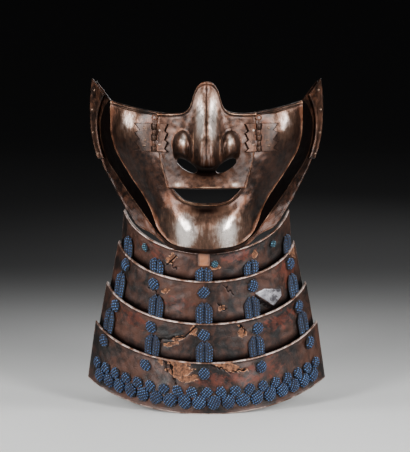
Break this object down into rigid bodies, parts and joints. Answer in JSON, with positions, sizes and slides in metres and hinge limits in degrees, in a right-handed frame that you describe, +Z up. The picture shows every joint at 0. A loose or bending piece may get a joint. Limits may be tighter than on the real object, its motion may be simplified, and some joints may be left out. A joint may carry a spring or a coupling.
{
  "type": "samurai face guard",
  "caption": "Iron half mask with a hinged nose piece and a laced, flaring throat guard of overlapping lacquered lames.",
  "frame": {"origin": "middle of the mask's lower rim, where the wearer's chin sits", "axes": "+Z up the face, the front faces -Y, +X is the viewer's right"},
  "size_m": [0.171, 0.0926, 0.2345],
  "materials": {
    "iron": "russet, worn to bright steel on the high places",
    "nose_iron": "brushed, lighter and pinkish brown",
    "lacquered_leather": "dark brown lacquer, cracked and chipped",
    "tan_leather": "bare, worn",
    "blue_lace": "braided silk, matte",
    "teal_lace": "braided silk, faded"
  },
  "bodies": {
    "guard": {"mask_plate": "iron", "chin_tab": "tan_leather", "hem_knots": "blue_lace", "cheek_leaf_left": "iron", "hinge_pin_left": "iron", "ear_strip_left": "iron", "cheek_leaf_right": "iron", "ear_strip_right": "iron", "lame_1": "lacquered_leather", "lame_2": "lacquered_leather", "lame_3": "lacquered_leather", "lame_4": "lacquered_leather", "knob_left": "teal_lace", "knob_centre": "teal_lace", "knob_right": "teal_lace", "braid_1_outer_left": "blue_lace", "braid_1_inner_left": "blue_lace", "braid_1_centre": "blue_lace", "braid_1_inner_right": "blue_lace", "braid_1_outer_right": "blue_lace", "braid_2_outer_left": "blue_lace", "braid_2_inner_left": "blue_lace", "braid_2_centre": "blue_lace", "braid_2_inner_right": "blue_lace", "braid_2_outer_right": "blue_lace", "braid_3_outer_left": "blue_lace", "braid_3_inner_left": "blue_lace", "braid_3_centre": "blue_lace", "braid_3_inner_right": "blue_lace", "braid_3_outer_right": "blue_lace", "knot_2_outer_left": "blue_lace", "knot_2_inner_left": "blue_lace", "knot_2_centre": "blue_lace", "knot_2_inner_right": "blue_lace", "knot_2_outer_right": "blue_lace", "knot_3_outer_left": "blue_lace", "knot_3_inner_left": "blue_lace", "knot_3_centre": "blue_lace", "knot_3_inner_right": "blue_lace", "knot_3_outer_right": "blue_lace", "knot_4_outer_left": "blue_lace", "knot_4_inner_left": "blue_lace", "knot_4_centre": "blue_lace", "knot_4_inner_right": "blue_lace", "knot_4_outer_right": "blue_lace"},
    "nose": {"nose_plate": "nose_iron", "nose_leaf_left": "nose_iron", "nose_leaf_right": "nose_iron"},
    "right_pin": {"hinge_pin_right": "iron"}
  },
  "joints": [
    {"name": "nose_swing", "type": "hinge", "parent": "guard", "child": "nose", "pos_m": [-0.03676, 0.0078, 0.0814], "axis": [0, 0, -1], "range_deg": [0, 110]},
    {"name": "pin_draw", "type": "slide", "parent": "guard", "child": "right_pin", "axis": [0, 0, 1], "range_m": [0, 0.024]}
  ]
}
